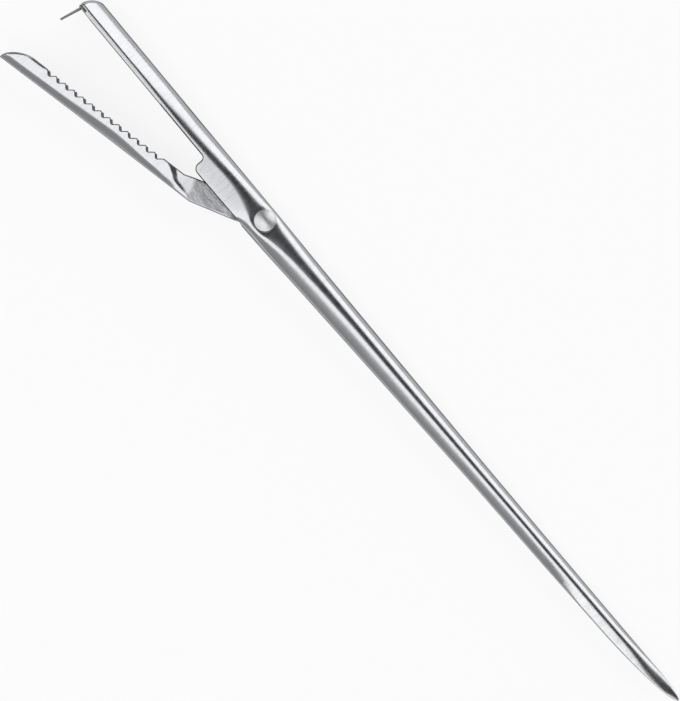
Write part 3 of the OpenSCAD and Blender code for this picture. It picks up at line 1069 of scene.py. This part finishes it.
def studio_paper():
    """Matt white paper, with fibres that only roughen it.

    Seen by the camera or in the steel it is most of the way to white, and it keeps the needle's shadow.
    """
    fibre = 0.6
    white_share = 0.85
    material = bpy.data.materials.new("studio_paper")
    material.use_nodes = True
    tree = material.node_tree
    tree.nodes.clear()
    place = add(tree, "ShaderNodeTexCoord").outputs["Object"]
    fibres = add(tree, "ShaderNodeTexNoise", {
        "Vector": place, "Scale": 1 / (fibre * MM), "Detail": 2.0,
    }).outputs["Fac"]
    bump = add(tree, "ShaderNodeBump", {
        "Height": fibres, "Strength": 0.1, "Distance": 0.02 * MM,
    }).outputs["Normal"]
    shader = add(tree, "ShaderNodeBsdfPrincipled", {
        "Base Color": bpy.context.scene.needle_finish.floor, "Roughness": 0.9, "Specular IOR Level": 0.1,
        "Normal": bump,
    })
    path = add(tree, "ShaderNodeLightPath").outputs
    seen = path["Is Camera Ray"]
    for ray in ("Is Glossy Ray", "Is Transmission Ray"):
        seen = add(tree, "ShaderNodeMath", {0: seen, 1: path[ray]}, operation="MAXIMUM").outputs["Value"]
    share = add(tree, "ShaderNodeMath", {0: seen, 1: white_share}, operation="MULTIPLY")
    white = add(tree, "ShaderNodeEmission", {"Color": (1, 1, 1, 1), "Strength": 1.0})
    mixed = add(tree, "ShaderNodeMixShader", {
        0: share.outputs["Value"], 1: shader.outputs["BSDF"], 2: white.outputs["Emission"],
    })
    add(tree, "ShaderNodeOutputMaterial", {"Surface": mixed.outputs["Shader"]})
    return material


def lay_floor():
    """A plain pale floor that the fixed jaw and the shank lie on"""
    mesh = bmesh.new()
    bmesh.ops.create_grid(mesh, x_segments=8, y_segments=8, size=4.0)
    data = bpy.data.meshes.new("floor")
    mesh.to_mesh(data)
    mesh.free()
    floor = bpy.data.objects.new("floor", data)
    bpy.context.scene.collection.objects.link(floor)
    # Lines of contact under the jaw's end and under the shank, as (x, z)
    jaw_contact = (-0.058, -0.00162)
    shank_contact = (0.100, 0.00127)
    slope = math.atan2(shank_contact[1] - jaw_contact[1], shank_contact[0] - jaw_contact[0])
    floor.rotation_euler = (0, -slope, 0)
    floor.location = (jaw_contact[0], 0, jaw_contact[1])
    data.materials.append(studio_paper())


def hang_lamp(name, place, turn, width, height, radiance):
    """A soft box of a given brightness"""
    lamp = bpy.data.lights.new(name, "AREA")
    lamp.shape = "RECTANGLE"
    lamp.size = width
    lamp.size_y = height
    lamp.energy = radiance * math.pi * width * height
    holder = bpy.data.objects.new(name, lamp)
    holder.location = place
    holder.rotation_euler = turn
    bpy.context.scene.collection.objects.link(holder)


def hang_lamps():
    """One soft box overhead beside the camera, and one that stands beyond the needle's back"""
    hang_lamp(
        "overhead_box", place=(0.03, -0.385, 1.0), turn=(0, 0, 0), width=2.3, height=0.91, radiance=1.8,
    )
    hang_lamp(
        "standing_box", place=(0.03, 0.9, 0.585), turn=(math.radians(-90), 0, 0), width=1.6, height=0.97,
        radiance=1.87,
    )


def paint_world():
    """Grey walls, darker behind the standing box, and a dark ceiling"""
    world = bpy.data.worlds.new("studio")
    bpy.context.scene.world = world
    world.use_nodes = True
    tree = world.node_tree
    tree.nodes.clear()
    direction = add(tree, "ShaderNodeTexCoord").outputs["Generated"]
    parts = add(tree, "ShaderNodeSeparateXYZ", {"Vector": direction}).outputs
    ramp = add(tree, "ShaderNodeValToRGB", {"Fac": parts["Z"]})
    wall, ceiling = ramp.color_ramp.elements
    wall.position = 0.72
    wall.color = to_linear("#B0B0B0")
    ceiling.position = 0.79
    ceiling.color = to_linear("#484848")
    shade = add(tree, "ShaderNodeMapRange", {
        "Value": parts["Y"], "From Min": -0.3, "From Max": 0.3, "To Min": 1.0, "To Max": 0.5,
    }).outputs["Result"]
    shader = add(tree, "ShaderNodeBackground", {"Color": ramp.outputs["Color"], "Strength": shade})
    add(tree, "ShaderNodeOutputWorld", {"Surface": shader.outputs["Background"]})


def set_camera():
    """Looks straight down the hinge, turned so that the needle lies as in the photograph"""
    distance = 0.6
    # Height of the view at the hinge, which is the longer side of the picture
    tall = 0.1496
    middle = (0.0313, -0.006)
    camera = bpy.data.cameras.new("camera")
    camera.sensor_width = 36
    camera.lens = camera.sensor_width * distance / tall
    holder = bpy.data.objects.new("camera", camera)
    right = Vector((0.653, 0.757, 0)).normalized()
    up = Vector((-right.y, right.x, 0))
    turn = Matrix((right, up, Vector((0, 0, 1)))).transposed().to_4x4()
    holder.matrix_world = Matrix.Translation((*middle, HINGE.z + distance)) @ turn
    bpy.context.scene.collection.objects.link(holder)
    bpy.context.scene.camera = holder


OPERATORS = (NeedleBodyOperator, ToothedJawOperator, HingeRivetOperator, SpikeOperator, StageOperator)
CLASSES = (NeedleSizes, NeedleFinish, *OPERATORS, NeedlePanel)


def register():
    for item in CLASSES:
        bpy.utils.register_class(item)
    bpy.types.Scene.needle_sizes = bpy.props.PointerProperty(type=NeedleSizes)
    bpy.types.Scene.needle_finish = bpy.props.PointerProperty(type=NeedleFinish)


def unregister():
    del bpy.types.Scene.needle_finish
    del bpy.types.Scene.needle_sizes
    for item in reversed(CLASSES):
        bpy.utils.unregister_class(item)


def main():
    register()
    bpy.ops.larding.needle_body()
    bpy.ops.larding.toothed_jaw()
    bpy.ops.larding.hinge_rivet()
    bpy.ops.larding.spike()
    bpy.ops.larding.stage()


if __name__ == "__main__":
    main()
